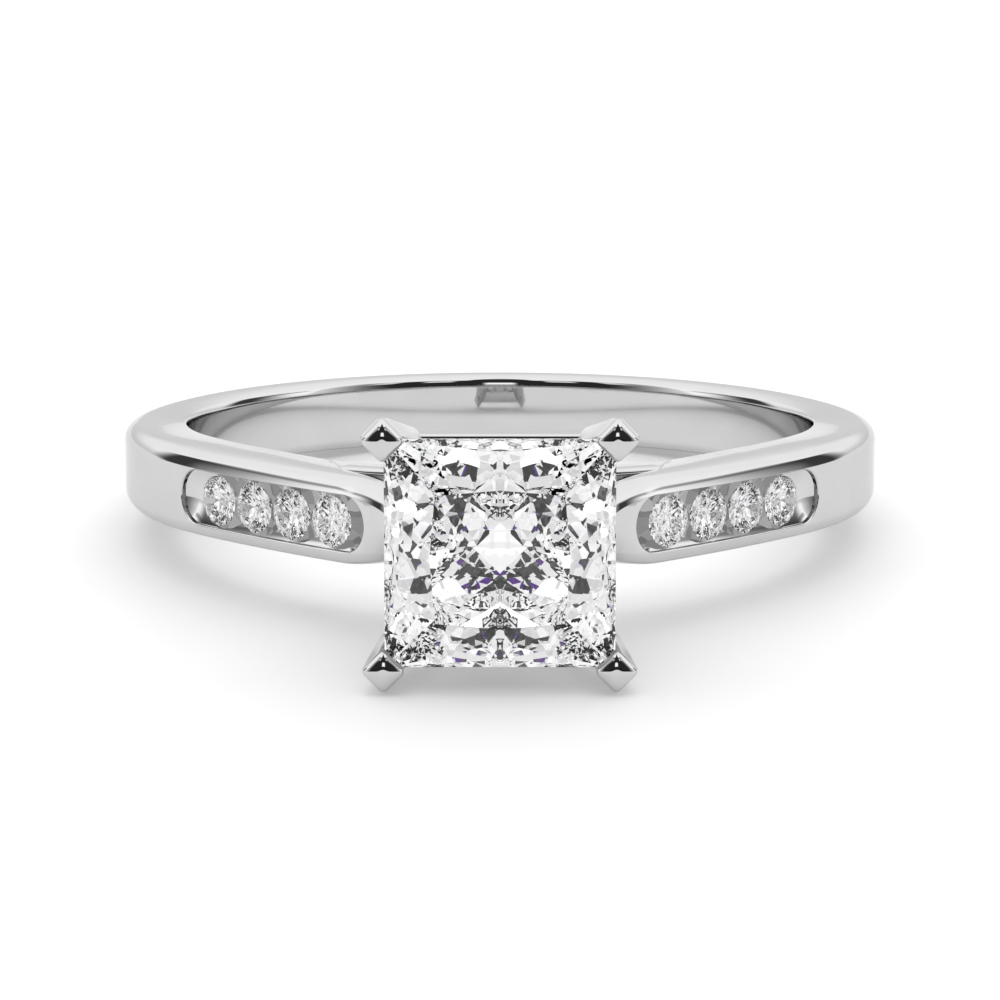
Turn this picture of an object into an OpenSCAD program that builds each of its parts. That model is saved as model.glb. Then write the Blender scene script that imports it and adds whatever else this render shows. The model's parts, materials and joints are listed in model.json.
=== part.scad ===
// Channel-set engagement ring with a square centre stone in four claws.
// It lies on its side: two claws and the back of the band touch the surface.
// Lengths are millimetres. Before the final tilt X runs to the right, -Y runs
// from the finger to the centre stone, and Z is the axis of the finger hole.

/* [Band] */
// Diameter of the finger hole
finger_d = 17.74; // [17.5:0.02:18]
// Radial thickness of the plain band
band_t = 1.78; // [1.7:0.02:1.86]
// Width of the band at the back of the finger
back_w = 2.0; // [1.8:0.05:2.2]
// Width of the band at the shoulders
shoulder_w = 2.32; // [2.24:0.02:2.4]
// Radius of the rounded outer edges of the plain band
band_edge_r = 0.42; // [0.3:0.02:0.5]
// Height of the eased edges of the finger hole
hole_edge_h = 0.28; // [0.2:0.02:0.34]
// Width by which the finger hole's edges are eased
hole_edge_w = 0.12; // [0.08:0.01:0.14]

/* [Shoulders] */
// Angle from the centre stone at which a shoulder leaves the round band
shoulder_angle = 49; // [48:0.5:50]
// Radius of the long arc that a shoulder follows towards the head
shoulder_r = 36; // [34:1:40]
// Length of that arc
shoulder_len = 5.9; // [5.8:0.1:6]
// Radius of the upturn towards the head
upturn_r = 3.2; // [3:0.1:3.4]
// Length of the upturn
upturn_len = 1.3; // [1.2:0.05:1.4]
// Length of the straight end that meets the gallery rail
arm_end_len = 1.0; // [0.95:0.05:1.1]
// Radial thickness of the bridge under the head
bridge_t = 0.98; // [0.9:0.02:1.06]

/* [Channels] */
// Width of a channel
channel_w = 1.46; // [1.44:0.01:1.5]
// Depth of a channel's hollow floor below the shoulder's face, at its middle
channel_depth = 0.36; // [0.34:0.01:0.4]
// Depth of a channel's floor along its walls
channel_wall_h = 0.15; // [0.14:0.01:0.18]
// Diameter of a side stone
side_stone_d = 1.35; // [1.32:0.01:1.37]
// Distance between the centres of neighbouring side stones
side_stone_pitch = 1.458; // [1.45:0.002:1.47]
// Depth of a side stone's girdle below the shoulder's face
side_stone_sink = 0.08; // [0.06:0.01:0.12]
// Distance from the shoulder's start to the centre of its last side stone
last_stone_at = 0.8; // [0.75:0.05:0.85]
// Bare channel floor beyond the last side stone
channel_bare = 0.91; // [0.85:0.02:0.97]
// Channel left between the first side stone and the head
channel_head_gap = 0.53; // [0.49:0.02:0.57]

/* [Head] */
// Width of the square centre stone
center_stone_w = 5.64; // [5.5:0.02:5.7]
// Distance from the finger's axis to the girdle of the centre stone
girdle_height = 15.0; // [14.8:0.05:15.1]
// Height of the claws above the girdle
claw_rise = 0.72; // [0.66:0.02:0.76]
// Width across the corners of a claw at its tip
claw_w = 1.02; // [0.98:0.02:1.06]
// Distance of a claw's axis from the head's axis at the girdle, along X and Z
claw_offset = 2.87; // [2.84:0.01:2.9]
// Slope of a claw's shaft, sideways run for each millimetre of height
claw_slope = 0.276; // [0.26:0.002:0.29]
// Distance of a claw's foot from the middle of the bridge, along Z
claw_foot_z = 0.72; // [0.66:0.02:0.78]
// Depth of the gallery rail's middle below the girdle
rail_drop = 2.35; // [2.3:0.05:2.5]
// Thickness of the gallery rail across
rail_t = 0.8; // [0.75:0.05:0.85]
// Height of the gallery rail
rail_h = 0.8; // [0.7:0.05:0.9]
// Clearance between a stone and the metal
stone_gap = 0.03; // [0.03:0.005:0.04]

/* [Hidden] */
side_stones = 4;

hole_r = finger_d / 2;
band_r = hole_r + band_t;
bridge_r = hole_r + bridge_t;
girdle_h = 0.12;
crown_h = 0.831;
stone_half = center_stone_w / 2;
claw_low = claw_offset + claw_w / 2;

// The ring leans until the lower claws and the band's back edge are level
rest_tilt = atan((claw_low - back_w / 2) / (girdle_height + band_r - band_edge_r));

// Angles from the centre stone between which the band's form changes
widening_from = 120;
widening_to = 56;
facing_from = 74;
facing_to = 52;
plain_step = 7;

// Corner of the shoulder: depth below the outer face, part of the half width
shoulder_corner = [
    [0.62, 0.985],
    [0.34, 0.955],
    [0.16, 0.905],
    [0.09, 0.865],
    [0, 0.655]
];
corner_steps = len(shoulder_corner) - 1;

function ease(t) = let (c = min(max(t, 0), 1)) c * c * (3 - 2 * c);
function mix(a, b, t) = a + (b - a) * t;
function polar(r, angle) = [-r * sin(angle), -r * cos(angle)];

// Point and heading, in degrees below +X, on an arc of radius r after length s
function arc_point(start, heading, r, s) =
    let (turn = s / r * 180 / PI)
    [
        start[0] + r * (sin(heading) - sin(heading - turn)),
        start[1] - r * (cos(heading - turn) - cos(heading)),
        heading - turn
    ];

// Outer line of the left shoulder, by length from where it leaves the band
function outer_line(s) =
    s < 0 ? arc_point(polar(band_r, shoulder_angle), shoulder_angle, band_r, s)
    : s <= shoulder_len ? arc_point(polar(band_r, shoulder_angle), shoulder_angle, shoulder_r, s)
    : let (
        e = arc_point(polar(band_r, shoulder_angle), shoulder_angle, shoulder_r, shoulder_len),
        u = arc_point([e[0], e[1]], e[2], -upturn_r, min(s - shoulder_len, upturn_len)),
        rest = max(s - shoulder_len - upturn_len, 0)
    ) [u[0] + rest * cos(u[2]), u[1] - rest * sin(u[2]), u[2]];

// Inner line of the left shoulder: round the finger, then up the open arch
arch_foot_angle = 25.4;
arch_heading = 50;
arch_r = 11;
arch_len = 4.15;
arch_start_s = 5.2;
hidden_r = hole_r - 0.15;
hidden_end_angle = 30.5;
arm_len = shoulder_len + upturn_len + arm_end_len;
function inner_line(s) =
    s < arch_start_s
        ? polar(hidden_r, mix(shoulder_angle, hidden_end_angle, s / arch_start_s))
    : let (
        p = arc_point(
            polar(bridge_r - 0.1, arch_foot_angle), arch_heading, -arch_r,
            arch_len * (s - arch_start_s) / (arm_len - arch_start_s)
        )
    ) [p[0], p[1]];

// Narrowing of the shoulder on its way into the head, outside and inside
narrow_from = 5.4;
end_width_outer = 0.6;
narrow_inside_from = 1.2;
start_width_inner = 1.05;
end_width_inner = 0.86;

// Half section at one station: rows of [depth below the face, half width]
function corner_rows(form, half_w, narrow) = [
    for (k = [0:corner_steps])
        let (
            a = 90 * k / corner_steps,
            plain = [band_edge_r * (1 - sin(a)), half_w - band_edge_r * (1 - cos(a))],
            faced = [shoulder_corner[k][0], shoulder_corner[k][1] * half_w * narrow]
        ) mix(plain, faced, form)
];

// One closed section of the sweep between an inner and an outer point
function section_points(inner, outer, half_w, form, narrow_out, narrow_in) =
    let (
        out = (outer - inner) / norm(outer - inner),
        rows = corner_rows(form, half_w, narrow_out),
        half = concat(
            [[inner[0], inner[1], half_w * narrow_in]],
            [for (r = rows) [outer[0] - out[0] * r[0], outer[1] - out[1] * r[0], r[1]]]
        ),
        n = len(half)
    ) concat(half, [for (i = [n - 1:-1:0]) [half[i][0], half[i][1], -half[i][2]]]);

function half_width(angle) =
    mix(back_w, shoulder_w, ease((widening_from - angle) / (widening_from - widening_to))) / 2;

function plain_section(angle) =
    let (form = ease((facing_from - angle) / (facing_from - facing_to)))
    section_points(
        polar(hidden_r, angle), polar(band_r, angle), half_width(angle),
        form, 1, mix(1, start_width_inner, form)
    );

function arm_section(s) =
    let (
        o = outer_line(s),
        taper = ease((s - narrow_from) / (arm_len - narrow_from)),
        taper_inside = pow(max(s - narrow_inside_from, 0) / (arm_len - narrow_inside_from), 1.4)
    ) section_points(
        inner_line(s), [o[0], o[1]], shoulder_w / 2, 1,
        mix(1, end_width_outer, taper), mix(start_width_inner, end_width_inner, taper_inside)
    );

arm_steps = 16;
plain_steps = round((180 - shoulder_angle) / plain_step);

// Sections from the head, down the left shoulder, to the back of the band
left_sections = concat(
    [for (i = [arm_steps:-1:0]) arm_section(arm_len * i / arm_steps)],
    [for (i = [1:plain_steps]) plain_section(mix(shoulder_angle, 180, i / plain_steps))]
);

// The same sections seen in the mirror, from the back to the right of the head
right_sections = [
    for (i = [len(left_sections) - 2:-1:0]) [for (p = left_sections[i]) [-p[0], p[1], p[2]]]
];

// Solid through a list of sections that all have the same number of points
module loft(sections) {
    n = len(sections[0]);
    m = len(sections);
    polyhedron(
        points = [for (section = sections) each section],
        faces = concat(
            [[for (i = [n - 1:-1:0]) i]],
            [
                for (j = [0:m - 2], i = [0:n - 1])
                    let (a = j * n + i, b = j * n + (i + 1) % n)
                        each [[a, b, a + n], [b, b + n, a + n]]
            ],
            [[for (i = [0:n - 1]) (m - 1) * n + i]]
        )
    );
}

module band_and_shoulders() {
    loft(concat(left_sections, right_sections));
}

// Front of the finger ring, which carries the head
bridge_span = 76;
bridge_half_w = 1.12;
bridge_edge = 0.1;
bridge_inner_r = hole_r - 0.4;
module bridge() {
    rotate([0, 0, 270 - bridge_span / 2])
        rotate_extrude(angle = bridge_span, $fn = 96)
            polygon([
                [bridge_inner_r, -bridge_half_w],
                [bridge_r - bridge_edge, -bridge_half_w],
                [bridge_r, -bridge_half_w + bridge_edge],
                [bridge_r, bridge_half_w - bridge_edge],
                [bridge_r - bridge_edge, bridge_half_w],
                [bridge_inner_r, bridge_half_w]
            ]);
}

// Finger hole: a straight bore whose edges are eased, with a flare beyond them
hole_reach = 4;
hole_flare = 0.3;
module finger_hole() {
    cylinder(h = 2 * hole_reach, r = hole_r, center = true, $fn = 128);
    for (side = [0, 180])
        rotate([side, 0, 0])
            translate([0, 0, back_w / 2 - hole_edge_h])
                rotate_extrude($fn = 128)
                    polygon(concat(
                        [[0, 0]],
                        [
                            for (a = [0:30:90])
                                [hole_r + hole_edge_w * (1 - cos(a)), hole_edge_h * sin(a)]
                        ],
                        [
                            [hole_r + hole_edge_w + hole_flare * hole_reach, hole_edge_h + hole_reach],
                            [0, hole_edge_h + hole_reach]
                        ]
                    ));
}

// Channel in the left shoulder: round-ended, with a hollow floor along the face
channel_start = last_stone_at - side_stone_d / 2 - channel_bare;
channel_end = last_stone_at + (side_stones - 1) * side_stone_pitch + side_stone_d / 2 + channel_head_gap;
floor_steps = 10;
floor_columns = 6;

// Section of the channel's hollow across the shoulder, at one length along it
function channel_section(s) =
    let (
        p = outer_line(s),
        down = [sin(p[2]), cos(p[2])],
        at = function(depth, z) [p[0] + depth * down[0], p[1] + depth * down[1], z]
    ) concat(
        [
            for (i = [-floor_columns:floor_columns])
                let (w = 1.02 * i / floor_columns)
                    at(mix(channel_depth, channel_wall_h, w * w), w * channel_w / 2)
        ],
        [at(-1, 0.51 * channel_w), at(-1, -0.51 * channel_w)]
    );

module channel() {
    a = outer_line(channel_start);
    b = outer_line(channel_end);
    heading = atan((a[1] - b[1]) / (b[0] - a[0]));
    half_run = norm([b[0] - a[0], b[1] - a[1]]) / 2 - channel_w / 2;
    intersection() {
        translate([(a[0] + b[0]) / 2, (a[1] + b[1]) / 2, 0])
            rotate([0, 0, -heading])
                rotate([90, 0, 0]) {
                    for (side = [-1, 1])
                        translate([side * half_run, 0, -1.5])
                            cylinder(h = 3, r = channel_w / 2, $fn = 48);
                    translate([-half_run, -channel_w / 2, -1.5])
                        cube([2 * half_run, channel_w, 3]);
                }
        loft([
            for (i = [floor_steps:-1:0])
                channel_section(mix(channel_start - 0.5, channel_end + 0.3, i / floor_steps))
        ]);
    }
}

// One claw: square section turned to the corner, on a shaft that splays out.
// Columns: height from the girdle, X and Z of the axis, width across corners
claw_foot = -(girdle_height - bridge_r) - 0.45;
claw_at_rail = claw_offset - claw_slope * rail_drop;
claw_rows = [
    [claw_foot, claw_offset + claw_slope * claw_foot, claw_foot_z, 1.3],
    [-rail_drop, claw_at_rail, claw_at_rail, 1.12],
    [-0.5, claw_offset - 0.12, claw_offset - 0.12, claw_w],
    [0.2, claw_offset, claw_offset, claw_w],
    [claw_rise - 0.16, claw_offset - 0.04, claw_offset - 0.04, claw_w],
    [claw_rise - 0.05, claw_offset - 0.06, claw_offset - 0.06, claw_w * 0.82],
    [claw_rise, claw_offset - 0.07, claw_offset - 0.07, claw_w * 0.45]
];
claw_corner_cut = 0.11;
function claw_section(row, sx, sz) =
    let (
        h = row[3] / 2,
        c = claw_corner_cut * row[3]
    ) [
        for (q = [0:3], e = [-1, 1])
            let (
                dir = [cos(90 * q), sin(90 * q)],
                p = h * dir + e * c * 0.5 * [-dir[1], dir[0]]
            ) [sx * (row[1] + p[0]), -girdle_height - row[0], sz * (row[2] + p[1])]
    ];

module claw(sx, sz) {
    rows = [for (r = claw_rows) claw_section(r, sx, sz)];
    loft(sx * sz < 0 ? rows : [for (i = [len(rows) - 1:-1:0]) rows[i]]);
}

// Square rail that ties the claws together and meets the shoulders
module gallery_rail() {
    reach = claw_at_rail + rail_t / 2;
    translate([0, -girdle_height + rail_drop, 0])
        rotate([90, 0, 0])
            linear_extrude(height = rail_h, center = true)
                difference() {
                    square(2 * reach, center = true);
                    square(2 * (reach - rail_t), center = true);
                }
}

// Square stone with its girdle's middle at the origin and its table towards +Z.
// Reaches are parts of the half width; heights of the crown are parts of its own
table_part = 0.557;
table_mid_part = 0.604;
crown_mid_part = 0.911;
crown_mid_height = 0.387;
kite_part = 0.742;
kite_height = 0.599;
// Chevrons of the pavilion: reach and depth on the middle line of each side
pavilion_rows = [
    [0.974, 0.157], [0.922, 0.357], [0.769, 0.65],
    [0.582, 0.787], [0.467, 0.871], [0.229, 1.013]
];
culet_depth = 1.031;
module princess(half, crown, girdle) {
    g = girdle / 2;
    hull_of(concat(
        [for (q = [0:3]) for_corner(q, half * table_part, g + crown)],
        [for (q = [0:3]) for_side(q, half * table_mid_part, g + crown)],
        [for (q = [0:3]) for_side(q, half * crown_mid_part, g + crown * crown_mid_height)],
        [for (q = [0:3]) for_corner(q, half * kite_part, g + crown * kite_height)],
        [for (q = [0:3]) for_corner(q, half, g)],
        [for (q = [0:3]) for_corner(q, half, -g)],
        [for (row = pavilion_rows, q = [0:3]) for_side(q, half * row[0], -g - half * row[1])],
        [[0, 0, -g - half * culet_depth]]
    ));
}
function for_corner(q, r, z) = [r * (q < 1 || q > 2 ? 1 : -1), r * (q < 2 ? 1 : -1), z];
function for_side(q, r, z) = [r * cos(90 * q), r * sin(90 * q), z];

// Round brilliant of the given diameter, with its girdle at the origin. Its
// heights are parts of its radius
brilliant_crown = 0.24;
brilliant_girdle = 0.05;
brilliant_pavilion = 0.86;
module brilliant(d) {
    r = d / 2;
    table_r = 0.56 * r;
    crown = brilliant_crown * r;
    girdle = brilliant_girdle * r;
    pavilion = brilliant_pavilion * r;
    mid_r = 0.80 * r;
    mid_z = crown * (r - mid_r * cos(22.5)) / (r - table_r);
    low_r = 0.24 * r;
    low_z = -girdle - pavilion * (1 - low_r * cos(22.5) / r);
    hull_of(concat(
        [for (i = [0:7]) ring_point(table_r, 45 * i, crown)],
        [for (i = [0:7]) ring_point(mid_r, 45 * i + 22.5, mid_z)],
        [for (i = [0:15]) ring_point(r, 22.5 * i, 0)],
        [for (i = [0:15]) ring_point(r, 22.5 * i, -girdle)],
        [for (i = [0:7]) ring_point(low_r, 45 * i + 22.5, low_z)],
        [[0, 0, -girdle - pavilion]]
    ));
}
function ring_point(r, angle, z) = [r * cos(angle), r * sin(angle), z];

// Conical seat that is drilled into the channel's floor for one side stone
module side_stone_seat() {
    deep = (brilliant_girdle + brilliant_pavilion) * side_stone_d / 2 + stone_gap * 1.35;
    top = channel_wall_h + 0.05 - side_stone_sink;
    tip_r = 0.03;
    slope_h = deep - top;
    translate([0, 0, -deep + tip_r * brilliant_pavilion])
        cylinder(
            h = slope_h - tip_r * brilliant_pavilion,
            r1 = tip_r, r2 = slope_h / brilliant_pavilion, $fn = 48
        );
}

// Smallest convex solid through a list of points
module hull_of(points) {
    hull() polyhedron(points = points, faces = [for (i = [2:len(points) - 1]) [0, i - 1, i]]);
}

module at_head() {
    translate([0, -girdle_height, 0])
        rotate([90, 0, 0]) children();
}

// Places something at a side stone, its girdle sunk below the shoulder's face
module at_side_stone(side, number) {
    s = last_stone_at + (side_stones - number) * side_stone_pitch;
    p = outer_line(s);
    mirror([side > 0 ? 1 : 0, 0, 0])
        translate([
            p[0] + side_stone_sink * sin(p[2]),
            p[1] + side_stone_sink * cos(p[2]),
            0
        ])
            rotate([0, 0, -p[2]])
                rotate([90, 0, 0]) children();
}

// Everything leans by the same angle about the finger hole's centre
module at_rest() {
    rotate([-rest_tilt, 0, 0]) children();
}

module ring_mounting() {
    color("#d8d9dc")
        at_rest()
            difference() {
                union() {
                    band_and_shoulders();
                    bridge();
                    gallery_rail();
                    for (sx = [-1, 1], sz = [-1, 1]) claw(sx, sz);
                }
                finger_hole();
                channel();
                mirror([1, 0, 0]) channel();
                for (side = [-1, 1], number = [1:side_stones])
                    at_side_stone(side, number) side_stone_seat();
                at_head()
                    princess(stone_half + stone_gap, crown_h + stone_gap, girdle_h + stone_gap);
            }
}

module center_stone() {
    color("#eef3fa")
        at_rest()
            at_head()
                princess(stone_half, crown_h, girdle_h);
}

module side_stone(side, number) {
    color("#e6edf4")
        at_rest()
            at_side_stone(side, number)
                brilliant(side_stone_d);
}

ring_mounting();
center_stone();
for (i = [1:side_stones]) {
    side_stone(-1, i);
    side_stone(1, i);
}
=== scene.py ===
"""Channel-set engagement ring: the looks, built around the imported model.

Lengths are millimetres in the ring's own frame, until a mesh is finished: X runs
to the right, -Y from the finger to the centre stone, and Z is the axis of the
finger hole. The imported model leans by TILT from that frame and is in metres.
"""

import json
import math
from collections import namedtuple

import bmesh
import bpy
import numpy as np
from mathutils import Matrix, Vector

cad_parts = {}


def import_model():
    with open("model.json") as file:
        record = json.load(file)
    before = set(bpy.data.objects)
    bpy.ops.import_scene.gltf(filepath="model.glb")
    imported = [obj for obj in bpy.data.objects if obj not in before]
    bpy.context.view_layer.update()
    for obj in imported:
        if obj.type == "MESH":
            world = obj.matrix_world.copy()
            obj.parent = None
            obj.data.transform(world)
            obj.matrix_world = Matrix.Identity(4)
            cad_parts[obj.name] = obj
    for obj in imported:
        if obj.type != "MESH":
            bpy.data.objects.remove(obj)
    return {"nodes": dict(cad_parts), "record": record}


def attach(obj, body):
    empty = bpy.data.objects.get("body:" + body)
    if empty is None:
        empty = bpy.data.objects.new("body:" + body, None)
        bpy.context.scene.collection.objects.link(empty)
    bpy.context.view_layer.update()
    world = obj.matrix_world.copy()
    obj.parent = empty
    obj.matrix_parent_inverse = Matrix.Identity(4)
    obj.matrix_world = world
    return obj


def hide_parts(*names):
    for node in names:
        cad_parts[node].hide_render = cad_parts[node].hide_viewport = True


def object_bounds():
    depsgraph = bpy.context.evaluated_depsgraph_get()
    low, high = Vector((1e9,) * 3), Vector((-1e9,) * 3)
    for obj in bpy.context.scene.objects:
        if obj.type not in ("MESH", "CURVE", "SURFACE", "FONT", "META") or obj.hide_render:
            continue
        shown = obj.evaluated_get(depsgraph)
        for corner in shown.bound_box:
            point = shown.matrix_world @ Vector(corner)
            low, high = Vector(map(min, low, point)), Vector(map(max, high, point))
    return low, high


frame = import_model()
cad_low, cad_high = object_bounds()

MM = 0.001
BORE = frame["record"]["mounts"][0]
HOLE_R = BORE["dims"]["r_mm"]
TILT = math.degrees(math.atan2(BORE["axis"][1], BORE["axis"][2]))

# Band
BAND_T = 1.78
BAND_R = HOLE_R + BAND_T
BACK_W = 2.0
SHOULDER_W = 2.32
BAND_EDGE_R = 0.42
HOLE_EDGE_H = 0.28
HOLE_EDGE_W = 0.12
SHOULDER_EASING = 0.25
WIDENING = (120, 56)
FACING = (74, 52)

# Shoulders
SHOULDER_ANGLE = 49
SHOULDER_R = 36
SHOULDER_LEN = 5.9
UPTURN_R = 3.2
UPTURN_LEN = 1.3
ARM_END_LEN = 1.0
ARM_LEN = SHOULDER_LEN + UPTURN_LEN + ARM_END_LEN
ARCH_FOOT_ANGLE = 25.4
ARCH_HEADING = 50
ARCH_R = 11
ARCH_LEN = 4.15
ARCH_START = 5.2
HIDDEN_R = HOLE_R - 0.15
HIDDEN_END_ANGLE = 30.5
NARROW_FROM = 5.4
END_WIDTH_OUTER = 0.6
NARROW_INSIDE_FROM = 1.2
START_WIDTH_INNER = 1.05
END_WIDTH_INNER = 0.86
INNER_EDGE_R = 0.14

# Bridge under the head
BRIDGE_T = 0.98
BRIDGE_R = HOLE_R + BRIDGE_T
BRIDGE_HALF_SPAN = 38
BRIDGE_HALF_W = 1.12
BRIDGE_EDGE_R = 0.1

# Channels and side stones
CHANNEL_W = 1.46
CHANNEL_DEPTH = 0.36
CHANNEL_WALL_H = 0.15
SIDE_STONE_D = 1.35
SIDE_STONE_PITCH = 1.458
SIDE_STONE_SINK = 0.08
SIDE_STONES = 4
LAST_STONE_AT = 0.8
CHANNEL_START = LAST_STONE_AT - SIDE_STONE_D / 2 - 0.91
CHANNEL_END = LAST_STONE_AT + (SIDE_STONES - 1) * SIDE_STONE_PITCH + SIDE_STONE_D / 2 + 0.53
RIM_R = 0.05
BRILLIANT_GIRDLE = 0.05
BRILLIANT_PAVILION = 0.86

# Head
STONE_HALF = 2.82
GIRDLE_HEIGHT = 15.0
GIRDLE_H = 0.12
CROWN_H = 0.831
CLAW_RISE = 0.72
CLAW_W = 1.02
CLAW_OFFSET = 2.87
CLAW_SLOPE = 0.276
CLAW_FOOT_Z = 0.72
RAIL_DROP = 2.35
RAIL_T = 0.8
RAIL_H = 0.8
RAIL_EDGE_R = 0.12
STONE_GAP = 0.03


def sin(angle):
    return math.sin(math.radians(angle))


def cos(angle):
    return math.cos(math.radians(angle))


def mix(a, b, t):
    return a + (b - a) * t


def ease(t):
    c = min(max(t, 0), 1)
    return c * c * (3 - 2 * c)


def polar(r, angle):
    """Point at an angle from the centre stone's direction, to the left."""
    return np.array([-r * sin(angle), -r * cos(angle)])


def arc_point(start, heading, r, s):
    """Point and heading, in degrees below +X, on an arc of radius r after length s."""
    turned = heading - math.degrees(s / r)
    x = start[0] + r * (sin(heading) - sin(turned))
    y = start[1] - r * (cos(turned) - cos(heading))
    return np.array([x, y]), turned


def outer_line(s):
    """Outer line of the left shoulder, by length from where it leaves the band."""
    start = polar(BAND_R, SHOULDER_ANGLE)
    if s < 0:
        return arc_point(start, SHOULDER_ANGLE, BAND_R, s)
    if s <= SHOULDER_LEN:
        return arc_point(start, SHOULDER_ANGLE, SHOULDER_R, s)
    end, heading = arc_point(start, SHOULDER_ANGLE, SHOULDER_R, SHOULDER_LEN)
    point, heading = arc_point(end, heading, -UPTURN_R, min(s - SHOULDER_LEN, UPTURN_LEN))
    rest = max(s - SHOULDER_LEN - UPTURN_LEN, 0)
    return point + rest * np.array([cos(heading), -sin(heading)]), heading


def inner_line(s):
    """Inner line of the left shoulder: round the finger, then up the open arch."""
    if s < ARCH_START:
        return polar(HIDDEN_R, mix(SHOULDER_ANGLE, HIDDEN_END_ANGLE, s / ARCH_START))
    foot = polar(BRIDGE_R - 0.1, ARCH_FOOT_ANGLE)
    along = ARCH_LEN * (s - ARCH_START) / (ARM_LEN - ARCH_START)
    return arc_point(foot, ARCH_HEADING, -ARCH_R, along)[0]


def bezier(a, b, c, t):
    return (1 - t) ** 2 * np.array(a) + 2 * t * (1 - t) * np.array(b) + t**2 * np.array(c)


CORNER_STEPS = 12
INNER_EDGE_STEPS = 6
# The shoulder's corner, as depths below its face and parts of the half width
CREASE = (0.115, 0.885)
SIDE_CURVE = ((0.62, 0.985), (0.25, 0.965), CREASE)
STRIP_CURVE = (CREASE, (0.045, 0.79), (0, 0.655))


def plain_corner(half_w):
    """Rounded corner of the plain band: rows of depth below the face and half width."""
    angles = [90 * k / (2 * CORNER_STEPS) for k in range(2 * CORNER_STEPS + 1)]
    return np.array([
        (BAND_EDGE_R * (1 - sin(a)), half_w - BAND_EDGE_R * (1 - cos(a))) for a in angles
    ])


def faced_corner(half_w):
    """Corner of the shoulder: curved side, crease, then a narrow bevelled strip."""
    steps = [k / CORNER_STEPS for k in range(CORNER_STEPS + 1)]
    side = [bezier(*SIDE_CURVE, t) for t in steps]
    strip = [bezier(*STRIP_CURVE, t) for t in steps[1:]]
    return np.array(side + strip) * (1, half_w)


def section(inner, outer, heading, half_w, form, narrow_out, narrow_in):
    """One closed section of the sweep between an inner and an outer point."""
    out = (outer - inner) / np.linalg.norm(outer - inner)
    down = np.array([sin(heading), cos(heading)])
    rows = mix(plain_corner(half_w), faced_corner(half_w * narrow_out), form)
    half = []
    for i in range(INNER_EDGE_STEPS + 1):
        a = 90 * i / INNER_EDGE_STEPS
        point = inner + out * INNER_EDGE_R * (1 - cos(a))
        half.append((*point, half_w * narrow_in - INNER_EDGE_R * (1 - sin(a))))
    half += [(*(outer + down * depth), w) for depth, w in rows]
    half = np.array(half)
    return np.concatenate([half, half[::-1] * (1, 1, -1)])


def half_width(angle):
    t = (WIDENING[0] - angle) / (WIDENING[0] - WIDENING[1])
    return mix(BACK_W, SHOULDER_W, ease(t)) / 2


def plain_section(angle):
    form = ease((FACING[0] - angle) / (FACING[0] - FACING[1]))
    return section(
        polar(HIDDEN_R, angle), polar(BAND_R, angle), angle, half_width(angle), form,
        1, mix(1, START_WIDTH_INNER, form),
    )


def arm_section(s):
    taper = ease((s - NARROW_FROM) / (ARM_LEN - NARROW_FROM))
    inside = max(s - NARROW_INSIDE_FROM, 0) / (ARM_LEN - NARROW_INSIDE_FROM)
    return section(
        inner_line(s), *outer_line(s), SHOULDER_W / 2, 1,
        mix(1, END_WIDTH_OUTER, taper), mix(START_WIDTH_INNER, END_WIDTH_INNER, inside**1.4),
    )


def loft(name, sections, closed=False):
    """Mesh through sections that all have the same number of points."""
    sections = np.array(sections)
    m, n = sections.shape[:2]
    mesh = bmesh.new()
    verts = [[mesh.verts.new(p) for p in row] for row in sections]
    for j in range(m if closed else m - 1):
        a, b = verts[j], verts[(j + 1) % m]
        for i in range(n):
            k = (i + 1) % n
            mesh.faces.new((a[i], a[k], b[k], b[i]))
    if not closed:
        mesh.faces.new(verts[0][::-1])
        mesh.faces.new(verts[-1])
    bmesh.ops.recalc_face_normals(mesh, faces=mesh.faces)
    data = bpy.data.meshes.new(name)
    mesh.to_mesh(data)
    mesh.free()
    obj = bpy.data.objects.new(name, data)
    bpy.context.scene.collection.objects.link(obj)
    return obj


ARM_STEPS = 120
PLAIN_STEPS = 170
BRIDGE_STEPS = 100


def left_sections():
    """Sections from the head, down the left shoulder, to the back of the band."""
    arm = [arm_section(ARM_LEN * i / ARM_STEPS) for i in range(ARM_STEPS, -1, -1)]
    angles = [mix(SHOULDER_ANGLE, 180, i / PLAIN_STEPS) for i in range(1, PLAIN_STEPS + 1)]
    return arm + [plain_section(a) for a in angles]


def band_and_shoulders():
    left = left_sections()
    right = [s * (-1, 1, 1) for s in left[-2::-1]]
    return loft("band_and_shoulders", left + right)


def side_face(r):
    """Angles and half widths of the band's side face where it is r from the axis."""
    places = []
    for points in left_sections():
        inner, outer = points[INNER_EDGE_STEPS], points[INNER_EDGE_STEPS + 1]
        inner_r, outer_r = math.hypot(*inner[:2]), math.hypot(*outer[:2])
        if inner_r < r:
            x, y, half_w = mix(inner, outer, (r - inner_r) / (outer_r - inner_r))
            places.append((math.degrees(math.atan2(-x, -y)), half_w))
    return np.array(places).T


def rounded_box(half_x, half_y, r, steps=5):
    """Outline of a rounded rectangle, anticlockwise."""
    points = []
    for q, (sx, sy) in enumerate([(1, 1), (-1, 1), (-1, -1), (1, -1)]):
        for i in range(steps + 1):
            a = 90 * q + 90 * i / steps
            points.append((sx * (half_x - r) + r * cos(a), sy * (half_y - r) + r * sin(a)))
    return points


def bridge():
    """Front of the finger ring, which carries the head."""
    inner_r = HOLE_R - 0.4
    outline = rounded_box((BRIDGE_R - inner_r) / 2, BRIDGE_HALF_W, BRIDGE_EDGE_R)
    middle = (BRIDGE_R + inner_r) / 2
    rows = []
    for i in range(BRIDGE_STEPS + 1):
        a = mix(-BRIDGE_HALF_SPAN, BRIDGE_HALF_SPAN, i / BRIDGE_STEPS)
        rows.append([(*polar(middle + x, a), z) for x, z in outline])
    return loft("bridge", rows)


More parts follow.
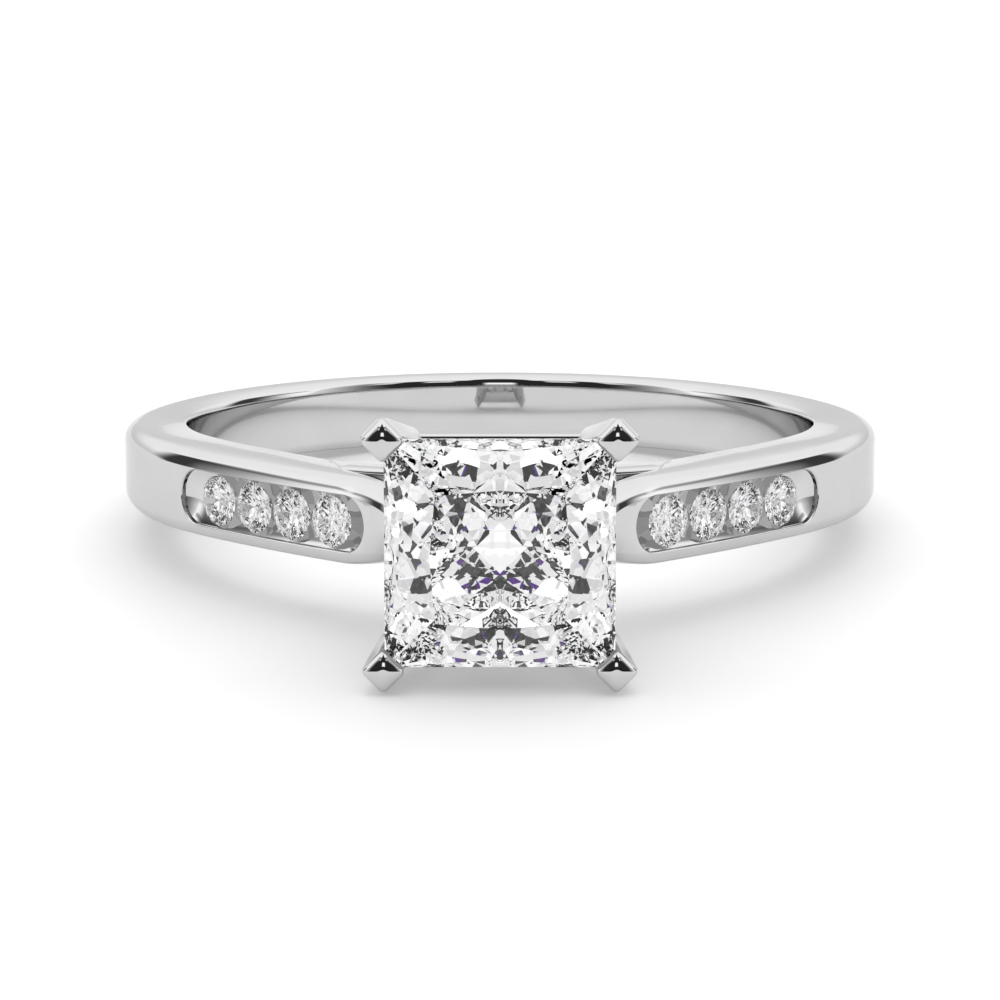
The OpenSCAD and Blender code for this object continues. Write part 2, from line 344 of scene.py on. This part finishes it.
def gallery_rail():
    """Square rail that ties the claws together and meets the shoulders."""
    middle = CLAW_OFFSET - CLAW_SLOPE * RAIL_DROP
    outline = rounded_box(RAIL_T / 2, RAIL_H / 2, RAIL_EDGE_R)
    rows = []
    for sx, sz in [(1, 1), (-1, 1), (-1, -1), (1, -1)]:
        rows.append([
            (sx * (middle + x), -GIRDLE_HEIGHT + RAIL_DROP - y, sz * (middle + x))
            for x, y in outline
        ])
    return loft("gallery_rail", rows, closed=True)


# Part of a claw's half side that its corners are rounded by, on the shaft and at the
# middle of the tip, and the share that makes up for the width lost to that rounding
SHAFT_ROUND, TIP_ROUND = 0.36, 0.98
ROUND_SHARE = 1.09


def claw_rows():
    """Rows along a claw, from its foot: height from the girdle, X and Z of the axis,
    width across corners, and how round the corners are."""
    foot = -(GIRDLE_HEIGHT - BRIDGE_R) - 0.45
    at_rail = CLAW_OFFSET - CLAW_SLOPE * RAIL_DROP
    rows = [
        (foot, CLAW_OFFSET + CLAW_SLOPE * foot, CLAW_FOOT_Z, 1.3, SHAFT_ROUND),
        (-RAIL_DROP, at_rail, at_rail, 1.12, SHAFT_ROUND),
        (-0.5, CLAW_OFFSET - 0.12, CLAW_OFFSET - 0.12, CLAW_W, SHAFT_ROUND),
        (0.2, CLAW_OFFSET, CLAW_OFFSET, CLAW_W, SHAFT_ROUND),
    ]
    axis = CLAW_OFFSET - 0.03
    for part, drop in tip_dome():
        roundness = mix(TIP_ROUND, SHAFT_ROUND, part**2)
        rows.append((CLAW_RISE - drop, axis, axis, CLAW_W * part, roundness))
    return rows


# The tip is flat in the middle, slopes gently to the end of a band, then steeply to its
# rim: parts of the half width, and slopes in degrees
TIP_FLAT, TIP_BAND = 0.16, 0.68
TIP_BAND_SLOPE, TIP_RIM_SLOPE = 26, 82
TIP_STEPS = 60
TIP_KEPT = [60, 59, 58, 57, 56, 54, 52, 50, 48, 46, 44, 40, 36, 32, 28, 24, 20, 16, 12, 3]


def tip_dome():
    """A claw's tip from rim to middle: parts of its width, with the drop below its top."""
    drops = [0]
    for i in range(TIP_STEPS):
        part = (i + 0.5) / TIP_STEPS
        if part < TIP_BAND:
            slope = max(part - TIP_FLAT, 0) / (TIP_BAND - TIP_FLAT) * sin(TIP_BAND_SLOPE)
        else:
            t = (part - TIP_BAND) / (1 - TIP_BAND)
            slope = mix(sin(TIP_BAND_SLOPE), sin(TIP_RIM_SLOPE), t)
        run = CLAW_W / 2 / math.sqrt(2) / TIP_STEPS
        drops.append(drops[-1] + run * slope / math.sqrt(1 - slope**2))
    return [(i / TIP_STEPS, drops[i]) for i in TIP_KEPT]


def claw(sx, sz):
    """Square section turned to the corner, on a shaft that splays out."""
    rows = []
    for height, x, z, width, roundness in claw_rows():
        half = width / 2 / math.sqrt(2) * ROUND_SHARE
        outline = rounded_box(half, half, half * roundness, 6)
        turned = [((p - q) / math.sqrt(2), (p + q) / math.sqrt(2)) for p, q in outline]
        rows.append([
            (sx * (x + p), -GIRDLE_HEIGHT - height, sz * (z + q)) for p, q in turned
        ])
    return loft("claw", rows)


# Angles from the centre stone between which the hole's edge passes from the bridge to the
# shoulder, and from the shoulder's light easing to the band's full one
BRIDGE_END = (22, 30)
EASING_END = (60, 100)
HOLE_STEPS = 640


def between(value, ends):
    return ease((value - ends[0]) / (ends[1] - ends[0]))


def finger_hole():
    """Cutter for the finger hole, with both of its edges eased."""
    rows = []
    angles, half_widths = side_face(HOLE_R + HOLE_EDGE_W * SHOULDER_EASING)
    for i in range(HOLE_STEPS):
        angle = 360 * i / HOLE_STEPS
        side = min(angle, 360 - angle)
        shoulder_half_w = np.interp(side, angles, half_widths)
        half_w = mix(BRIDGE_HALF_W, shoulder_half_w, between(side, BRIDGE_END))
        eased = mix(SHOULDER_EASING, 1, between(side, EASING_END))
        top = []
        for a in range(0, 81, 8):
            wide = HOLE_EDGE_W * eased * (1 - cos(a))
            top.append((HOLE_R + wide, half_w - HOLE_EDGE_H * eased * (1 - sin(a))))
        top.append((top[-1][0] + 0.3, top[-1][1] + 0.1))
        top.append((top[-1][0], 4))
        profile = [(r, -z) for r, z in top[::-1]] + top
        rows.append([(*polar(r, angle), z) for r, z in profile])
    rows = np.array(rows).transpose(1, 0, 2)
    return loft("finger_hole", rows)


def stadium(half_run, r, steps=24):
    """Outline of a slot with round ends, as places along and across it."""
    ends = [(half_run + r * cos(a), r * sin(a)) for a in np.linspace(-90, 90, steps)]
    ends += [(-half_run + r * cos(a), r * sin(a)) for a in np.linspace(90, 270, steps)]
    points = []
    for i, p in enumerate(ends):
        q = ends[(i + 1) % len(ends)]
        count = max(1, round(math.dist(p, q) / 0.15))
        points += [(mix(p[0], q[0], k / count), mix(p[1], q[1], k / count)) for k in range(count)]
    return points


def channel(side):
    """Cutter for a channel: its rim is softened and its hollow floor follows the face."""
    a, b = outer_line(CHANNEL_START)[0], outer_line(CHANNEL_END)[0]
    along = (b - a) / np.linalg.norm(b - a)
    inward = np.array([-along[1], along[0]])
    half_run = np.linalg.norm(b - a) / 2 - CHANNEL_W / 2
    profile = [(RIM_R * 1.2, -0.5)]
    for k in range(20, 91, 14):
        profile.append((RIM_R * (1 - sin(k)), RIM_R * (1 - cos(k))))
    for inward_part in np.linspace(0, 0.98, 15):
        depth = mix(CHANNEL_DEPTH, CHANNEL_WALL_H, (1 - inward_part) ** 2)
        profile.append((-CHANNEL_W / 2 * inward_part, depth))
    arc = np.array([outer_line(s)[0] for s in np.linspace(CHANNEL_START - 1, CHANNEL_END + 1, 200)])
    arc_along = (arc - (a + b) / 2) @ along
    arc_sunk = (arc - (a + b) / 2) @ inward
    rows = []
    for offset, depth in profile:
        row = []
        for u, w in stadium(half_run, CHANNEL_W / 2 + offset):
            sunk = np.interp(u, arc_along, arc_sunk)
            point = (a + b) / 2 + along * u + inward * (sunk + depth)
            row.append((side * -point[0], point[1], w))
        rows.append(row)
    return loft("channel", rows)


def side_stone_seat(side, number):
    """Cutter for the conical seat that is drilled under one side stone."""
    point, heading = outer_line(LAST_STONE_AT + (SIDE_STONES - number) * SIDE_STONE_PITCH)
    down = np.array([sin(heading), cos(heading)])
    along = np.array([cos(heading), -sin(heading)])
    deep = (BRILLIANT_GIRDLE + BRILLIANT_PAVILION) * SIDE_STONE_D / 2 + STONE_GAP * 1.35
    top = CHANNEL_WALL_H + 0.05 - SIDE_STONE_SINK
    rows = []
    for r in (0.03, (deep - top) / BRILLIANT_PAVILION):
        middle = point + down * (SIDE_STONE_SINK + deep - r * BRILLIANT_PAVILION)
        row = []
        for a in np.linspace(0, 360, 64, endpoint=False):
            place = middle + along * r * cos(a)
            row.append((side * -place[0], place[1], r * sin(a)))
        rows.append(row)
    return loft("side_stone_seat", rows)


TABLE_PART, TABLE_MID_PART = 0.557, 0.604
CROWN_MID = (0.911, 0.387)
KITE = (0.742, 0.599)
PAVILION_ROWS = [
    (0.974, 0.157), (0.922, 0.357), (0.769, 0.65), (0.582, 0.787), (0.467, 0.871), (0.229, 1.013),
]
CULET_DEPTH = 1.031


def princess(half, crown, girdle):
    """Points of the square stone, its girdle's middle at the origin, table towards +Z."""
    g = girdle / 2
    corner = [(1, 1), (-1, 1), (-1, -1), (1, -1)]
    middle = [(1, 0), (0, 1), (-1, 0), (0, -1)]
    rows = [
        (corner, TABLE_PART, g + crown), (middle, TABLE_MID_PART, g + crown),
        (middle, CROWN_MID[0], g + CROWN_MID[1] * crown),
        (corner, KITE[0], g + KITE[1] * crown), (corner, 1, g), (corner, 1, -g),
        ([(0, 0)], 1, -g - CULET_DEPTH * half),
    ]
    rows += [(middle, reach, -g - depth * half) for reach, depth in PAVILION_ROWS]
    return [(half * r * x, half * r * y, z) for places, r, z in rows for x, y in places]


def stone_seat():
    """Cutter for the centre stone's seat in the claws."""
    mesh = bmesh.new()
    for x, y, z in princess(STONE_HALF + STONE_GAP, CROWN_H + STONE_GAP, GIRDLE_H + STONE_GAP):
        mesh.verts.new((x, -GIRDLE_HEIGHT - z, y))
    bmesh.ops.convex_hull(mesh, input=mesh.verts)
    data = bpy.data.meshes.new("stone_seat")
    mesh.to_mesh(data)
    mesh.free()
    obj = bpy.data.objects.new("stone_seat", data)
    bpy.context.scene.collection.objects.link(obj)
    return obj


def combine(obj, others, operation):
    """Joins the others to the object, or cuts them out of it, and removes them."""
    for other in others:
        step = obj.modifiers.new("step", "BOOLEAN")
        step.operation = operation
        step.solver = "MANIFOLD"
        step.object = other
    apply_modifiers(obj)
    for other in others:
        bpy.data.objects.remove(other)


def apply_modifiers(obj):
    depsgraph = bpy.context.evaluated_depsgraph_get()
    made = bpy.data.meshes.new_from_object(obj.evaluated_get(depsgraph))
    obj.modifiers.clear()
    obj.data = made


def ring_mounting():
    """The whole soldered mounting as one mesh, in the row's frame and in metres."""
    obj = band_and_shoulders()
    claws = [claw(sx, sz) for sx in (-1, 1) for sz in (-1, 1)]
    combine(obj, [bridge(), gallery_rail(), *claws], "UNION")
    seats = [
        side_stone_seat(side, number)
        for side in (-1, 1) for number in range(1, SIDE_STONES + 1)
    ]
    combine(obj, [finger_hole(), channel(1), channel(-1), stone_seat(), *seats], "DIFFERENCE")
    obj.name = obj.data.name = "polished_mounting"
    obj.data.transform(Matrix.Rotation(math.radians(-TILT), 4, "X") @ Matrix.Scale(MM, 4))
    obj.data.shade_smooth()
    obj.data.set_sharp_from_angle(angle=math.radians(32))
    weighted = obj.modifiers.new("even_shading", "WEIGHTED_NORMAL")
    weighted.keep_sharp = True
    apply_modifiers(obj)
    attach(obj, "root")
    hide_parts("ring_mounting")
    return obj


def studio_floor():
    bpy.ops.mesh.primitive_plane_add(size=4, location=(0, 0, cad_low.z))
    floor = bpy.context.object
    floor.name = "studio_floor"
    floor.data.materials.append(floor_material())
    floor.visible_transmission = False


# The photo's camera: how far it is from the ring, how many degrees it looks down on the
# ring's own plane, how far it is moved up, and its focal length in pixels of the picture
CAMERA_DISTANCE, CAMERA_RISE, CAMERA_LIFT = 100, 9.86, -1.268
FOCAL_PX, PICTURE_PX = 3499.6, 1000
SENSOR_W = 36


def camera():
    ahead = Vector((0, cos(CAMERA_RISE), -sin(CAMERA_RISE)))
    up = Vector((0, sin(CAMERA_RISE), cos(CAMERA_RISE)))
    lean = Matrix.Rotation(math.radians(-TILT), 3, "X")
    place = lean @ (up * CAMERA_LIFT - ahead * CAMERA_DISTANCE) * MM
    data = bpy.data.cameras.new("camera")
    data.sensor_width = SENSOR_W
    data.lens = FOCAL_PX * SENSOR_W / PICTURE_PX
    data.clip_start = 0.005
    obj = bpy.data.objects.new("camera", data)
    obj.location = place
    obj.rotation_euler = (lean @ ahead).to_track_quat("-Z", "Y").to_euler()
    bpy.context.scene.collection.objects.link(obj)
    bpy.context.scene.camera = obj


class Nodes:
    """Short calls for the nodes of one tree."""

    def __init__(self, tree):
        self.tree = tree

    def add(self, kind, **settings):
        node = self.tree.nodes.new(kind)
        for key, value in settings.items():
            setattr(node, key, value)
        return node

    def put(self, socket, value):
        if isinstance(value, bpy.types.NodeSocket):
            self.tree.links.new(value, socket)
        else:
            socket.default_value = value

    def math(self, operation, *values):
        node = self.add("ShaderNodeMath", operation=operation)
        for socket, value in zip(node.inputs, values):
            self.put(socket, value)
        return node.outputs[0]

    def mix(self, factor, a, b):
        node = self.add("ShaderNodeMix")
        for socket, value in zip((node.inputs[0], node.inputs[2], node.inputs[3]), (factor, a, b)):
            self.put(socket, value)
        return node.outputs[0]

    def join(self, kind, *values):
        """One colour or vector from three numbers."""
        node = self.add(kind)
        for socket, value in zip(node.inputs, values):
            self.put(socket, value)
        return node.outputs[0]

    def grey(self, value):
        """A grey colour of the given brightness."""
        return self.join("ShaderNodeCombineColor", value, value, value)

    def split(self, kind, value):
        """The three numbers of a colour or a vector."""
        node = self.add(kind)
        self.put(node.inputs[0], value)
        return node.outputs

    def place(self):
        """X, Y and Z of the point in object space."""
        return self.split("ShaderNodeSeparateXYZ", self.add("ShaderNodeTexCoord").outputs["Object"])

    def cells(self, vector, scale):
        """Three random numbers from 0 to 1 for each cell of space."""
        node = self.add("ShaderNodeTexVoronoi")
        self.put(node.inputs["Vector"], vector)
        node.inputs["Scale"].default_value = scale
        return self.split("ShaderNodeSeparateColor", node.outputs["Color"])

    def fade(self, value, start, end, low=0, high=1):
        """Smooth step of a value from low to high."""
        node = self.add("ShaderNodeMapRange", interpolation_type="SMOOTHSTEP")
        for socket, x in zip(node.inputs, (value, start, end, low, high)):
            self.put(socket, x)
        return node.outputs[0]


def node_material(name):
    """A new material, its Principled shader, its nodes and a noise in object space."""
    material = bpy.data.materials.new(name)
    material.use_nodes = True
    shader = material.node_tree.nodes["Principled BSDF"]
    n = Nodes(material.node_tree)

    def noise(grain_mm, detail):
        node = n.add("ShaderNodeTexNoise")
        n.put(node.inputs["Vector"], n.add("ShaderNodeTexCoord").outputs["Object"])
        node.inputs["Scale"].default_value = 1 / (grain_mm * MM)
        node.inputs["Detail"].default_value = detail
        return node.outputs["Fac"]

    return material, shader.inputs, n, noise


# Metal that shows through a stone gets a painted glow, as if lit up a little, more so in the head
HEAD_HALF, CHANNEL_FROM = 3.6, 4.4
HEAD_GLOW = 0.7
CHANNEL_GLOW = 0.08
# Share of its plain brightness that the metal keeps where it is seen at a glancing angle
METAL_EDGE = 0.81


def white_gold():
    """Polished metal, with the faint unevenness of hand polishing, and a painted glow where a stone
    shows it.
    """
    material, inputs, n, noise = node_material("white_gold")
    inputs["Metallic"].default_value = 1
    n.put(inputs["Base Color"], n.fade(noise(1.4, 2), 0.3, 0.7, 0.61, 0.63))
    n.put(inputs["Roughness"], n.fade(noise(0.5, 4), 0.3, 0.7, 0.03, 0.05))
    inputs["Specular Tint"].default_value = (METAL_EDGE, METAL_EDGE, METAL_EDGE, 1)
    # Painted glow: emission where a ray through a stone meets the metal, though the metal is no lamp
    through_stone = n.add("ShaderNodeLightPath").outputs["Is Transmission Ray"]
    beside = n.math("ABSOLUTE", n.place()[0])
    glow = n.fade(beside, HEAD_HALF * MM, CHANNEL_FROM * MM, HEAD_GLOW, CHANNEL_GLOW)
    n.put(inputs["Emission Color"], n.grey(n.math("MULTIPLY", through_stone, glow)))
    inputs["Emission Strength"].default_value = 1
    return material


STONE_MIRROR = 0.25
STONE_IOR = 2.42
# Where the metal mirrors a stone, a painted reflection takes its place: plain cells of painted glow
# between these levels
MIRRORED_LOW, MIRRORED_HIGH = 0.22, 0.68


def tilted_normal(n, numbers, x, tilt):
    """The surface's normal, leaning by three random numbers, in the mirror at the left."""
    most = math.radians(tilt)
    leans = [n.math("MULTIPLY_ADD", number, most, -most / 2) for number in numbers]
    leans[0] = n.math("MULTIPLY", leans[0], n.math("SIGN", x))
    lean = n.add("ShaderNodeVectorMath", operation="ADD")
    n.put(lean.inputs[0], n.join("ShaderNodeCombineXYZ", *leans))
    n.put(lean.inputs[1], n.add("ShaderNodeNewGeometry").outputs["Normal"])
    normal = n.add("ShaderNodeVectorMath", operation="NORMALIZE")
    n.put(normal.inputs[0], lean.outputs[0])
    return normal.outputs[0]


def diamond(name, roughness, cell_mm, tilt):
    """Clear stone with a weak surface mirror, so that its dark facets stay dark.

    Its facets are polished in small cells that tilt a little from each other, by up to
    half the given tilt, alike on the left and on the right.
    """
    material, inputs, n, noise = node_material(name)
    clouds = noise(1.2, 2)
    red, green = n.fade(clouds, 0.35, 0.65, 0.985, 1), n.fade(clouds, 0.35, 0.65, 0.99, 1)
    tint = n.join("ShaderNodeCombineColor", red, green, 1)
    # Painted reflection: where the metal mirrors the stone from outside, its colour goes black and
    # painted glowing cells stand in for it
    from_outside = n.math("SUBTRACT", 1.0, n.add("ShaderNodeNewGeometry").outputs["Backfacing"])
    glossy = n.add("ShaderNodeLightPath").outputs["Is Glossy Ray"]
    mirrored = n.math("MULTIPLY", glossy, from_outside)
    shade = n.add("ShaderNodeVectorMath", operation="SCALE")
    n.put(shade.inputs[0], tint)
    n.put(shade.inputs["Scale"], n.math("SUBTRACT", 1.0, mirrored))
    n.put(inputs["Base Color"], shade.outputs[0])
    inputs["Roughness"].default_value = roughness
    inputs["IOR"].default_value = STONE_IOR
    inputs["Transmission Weight"].default_value = 1
    inputs["Specular Tint"].default_value = (STONE_MIRROR, STONE_MIRROR, STONE_MIRROR, 1)
    x, y, z = n.place()
    right_half = n.join("ShaderNodeCombineXYZ", n.math("ABSOLUTE", x), y, z)
    numbers = n.cells(right_half, 1 / (cell_mm * MM))
    # Painted glow of the stone as the metal mirrors it, one level per cell
    glow = n.mix(numbers[1], MIRRORED_LOW, MIRRORED_HIGH)
    n.put(inputs["Emission Color"], n.grey(n.math("MULTIPLY", mirrored, glow)))
    inputs["Emission Strength"].default_value = 1
    n.put(inputs["Normal"], tilted_normal(n, numbers, x, tilt))
    return material


FLOOR_GLOW = 0.376


def floor_material():
    """Pale satin sheet that is lit a little from below."""
    material, inputs, n, noise = node_material("studio_floor")
    n.put(inputs["Base Color"], n.fade(noise(9, 5), 0.3, 0.7, 0.61, 0.625))
    n.put(inputs["Roughness"], n.fade(noise(3, 3), 0.3, 0.7, 0.55, 0.65))
    inputs["Emission Color"].default_value = (1, 1, 1, 1)
    inputs["Emission Strength"].default_value = FLOOR_GLOW
    return material


# Panels of the studio, the same on both sides. Azimuth is counted from the viewer's side
# and elevation from the floor, in degrees; each edge has its own soft width
Panel = namedtuple("Panel", "az0 soft0 az1 soft1 el0 el1 soft_el radiance")
FLAG = Panel(98, 14, 126, 6, 1, 25, 3, 0.06)
SEAM = Panel(84, 4, 108, 6, 21, 26, 1.5, 0.55)
SIDE_BOX = Panel(79, 3, 92, 8, 6, 60, 4, 1.45)
TOP_BOX = Panel(17, 2, 200, 1, 53, 95, 3, 1.35)
WINDOWS = [
    Panel(-9, 1, 6, 1.5, 14, 26, 1.5, 1.5),
    Panel(21, 2, 34, 2, 35, 46, 2, 1.2),
    Panel(48, 2, 60, 4, 35, 50, 3, 1.0),
]
DARK_CENTRE = (0, -cos(22), sin(22))
DARK_INNER, DARK_OUTER = 40, 88
DARK_LEVEL = 0.03
TENT_LEVEL = 1.33
HORIZON_LEVEL = 0.71
OVERHEAD_POWER = 0.35

# What the stones see: a tent with one dark oval round the camera and a few panels in it.
# Cells of directions vary the tent's tone, and a few of them are dark, or light in the
# oval. A violet fringe comes from a pattern at a slightly smaller scale, as stones
# split the light
GEM_OVAL = (30.1, 31.8, 19.6)
GEM_OVAL_SOFT = 0.04
GEM_SPLIT = 0.997
GEM_FRINGE = (0.08, 0, 0.25)
GEM_DARK_LEVEL = 0.03
GEM_TENT_LEVEL = 1.15
GEM_TONE_CELLS = [(9, 0.78), (26, 0.62)]
GEM_ODD_CELLS = 22
GEM_ODD_DARK, GEM_ODD_LIGHT = (0.13, 0.06), (0.75, 0.8)
GEM_PANELS = [
    Panel(-9, 0.5, 8, 0.5, 14, 26, 0.5, 0.77),
    Panel(19.1, 0.5, 40.0, 0.5, 33.3, 44.2, 0.5, 1.3),
    Panel(16.9, 0.5, 24.9, 0.5, 10.4, 28.8, 0.5, 1.3),
    Panel(63.3, 0.5, 77.5, 0.5, 14.3, 19.9, 0.5, 0.03),
]


def world():
    """Studio: a white tent over the back and the top, dark towards the viewer."""
    w = bpy.data.worlds.new("studio")
    w.use_nodes = True
    bpy.context.scene.world = w
    n = Nodes(w.node_tree)
    ray = n.add("ShaderNodeTexCoord").outputs["Generated"]
    x, y, z = n.split("ShaderNodeSeparateXYZ", ray)
    side = n.math("ABSOLUTE", x)
    azimuth = n.math("DEGREES", n.math("ARCTAN2", side, n.math("MULTIPLY", y, -1)))
    elevation = n.math("DEGREES", n.math("ARCSINE", z))
    dot = n.add("ShaderNodeVectorMath", operation="DOT_PRODUCT")
    n.put(dot.inputs[0], ray)
    dot.inputs[1].default_value = DARK_CENTRE
    off = n.math("DEGREES", n.math("ARCCOSINE", dot.outputs["Value"]))
    level = n.fade(off, DARK_INNER, DARK_OUTER, DARK_LEVEL, TENT_LEVEL)
    level = n.math("MULTIPLY", level, n.fade(elevation, 2, 14, HORIZON_LEVEL, 1))

    def inside(panel):
        value = n.fade(azimuth, panel.az0 - panel.soft0, panel.az0 + panel.soft0)
        for edge in (
            n.fade(azimuth, panel.az1 - panel.soft1, panel.az1 + panel.soft1, 1, 0),
            n.fade(elevation, panel.el0 - panel.soft_el, panel.el0 + panel.soft_el),
            n.fade(elevation, panel.el1 - panel.soft_el, panel.el1 + panel.soft_el, 1, 0),
        ):
            value = n.math("MULTIPLY", value, edge)
        return value

    for panel in [TOP_BOX, SIDE_BOX, SEAM, FLAG, *WINDOWS]:
        level = n.mix(inside(panel), level, panel.radiance)
    wide, high, middle = GEM_OVAL
    across = n.math("DIVIDE", azimuth, wide)
    above = n.math("DIVIDE", n.math("SUBTRACT", elevation, middle), high)
    oval = n.math("SQRT", n.math("ADD", n.math("POWER", across, 2), n.math("POWER", above, 2)))
    gem_panels = [(inside(panel), panel.radiance) for panel in GEM_PANELS]
    right_half = n.join("ShaderNodeCombineXYZ", side, y, z)
    above_floor = n.math("GREATER_THAN", elevation, -0.5)

    def cells(scale):
        return n.cells(right_half, scale)[0]

    def gem_level(split):
        """Brightness that the stones see, with its pattern scaled by the given split."""
        odd = cells(GEM_ODD_CELLS * split)
        tent = n.mix(n.math("LESS_THAN", odd, GEM_ODD_DARK[0]), GEM_TENT_LEVEL, GEM_ODD_DARK[1])
        for scale, darkest in GEM_TONE_CELLS:
            tent = n.math("MULTIPLY", tent, n.mix(cells(scale * split), darkest, 1))
        dark = n.mix(n.math("GREATER_THAN", odd, GEM_ODD_LIGHT[0]), GEM_DARK_LEVEL, GEM_ODD_LIGHT[1])
        in_oval = n.math("MULTIPLY", above_floor, n.fade(oval, split, split + GEM_OVAL_SOFT, 1, 0))
        value = n.mix(in_oval, tent, dark)
        for factor, radiance in gem_panels:
            value = n.mix(factor, value, radiance)
        return value

    value = gem_level(1)
    fringe = n.math("MAXIMUM", n.math("SUBTRACT", gem_level(GEM_SPLIT), value), 0)
    gem = n.join(
        "ShaderNodeCombineColor", *[n.math("MULTIPLY_ADD", fringe, share, value) for share in GEM_FRINGE]
    )
    blend = n.add("ShaderNodeMix", data_type="RGBA")
    through_stone = n.add("ShaderNodeLightPath").outputs["Transmission Depth"]
    n.put(blend.inputs[0], n.math("GREATER_THAN", through_stone, 0.5))
    n.put(blend.inputs[6], level)
    n.put(blend.inputs[7], gem)
    back = w.node_tree.nodes["Background"]
    n.put(back.inputs["Color"], blend.outputs[2])
    back.inputs["Strength"].default_value = 1


def overhead_light():
    """Wide softbox over the floor, which the metal and the stones don't mirror."""
    data = bpy.data.lights.new("overhead_light", "AREA")
    data.shape = "DISK"
    data.size = 0.5
    data.energy = OVERHEAD_POWER
    light = bpy.data.objects.new("overhead_light", data)
    light.location = (0, 0, 0.4)
    light.visible_glossy = False
    light.visible_transmission = False
    bpy.context.scene.collection.objects.link(light)


mounting = ring_mounting()
mounting.data.materials.clear()
mounting.data.materials.append(white_gold())
large_glass = diamond("center_diamond", roughness=0, cell_mm=0.6, tilt=0.9)
small_glass = diamond("side_diamond", roughness=0.02, cell_mm=0.35, tilt=0.8)
for name, node in frame["nodes"].items():
    if "stone" in name:
        node.data.materials.clear()
        node.data.materials.append(large_glass if name == "center_stone" else small_glass)
studio_floor()
camera()
world()
overhead_light()
bpy.context.scene.view_settings.view_transform = "Standard"
rays = bpy.context.scene.cycles
rays.max_bounces = 24
rays.transmission_bounces = 20
rays.glossy_bounces = 10
rays.caustics_reflective = False
rays.caustics_refractive = False
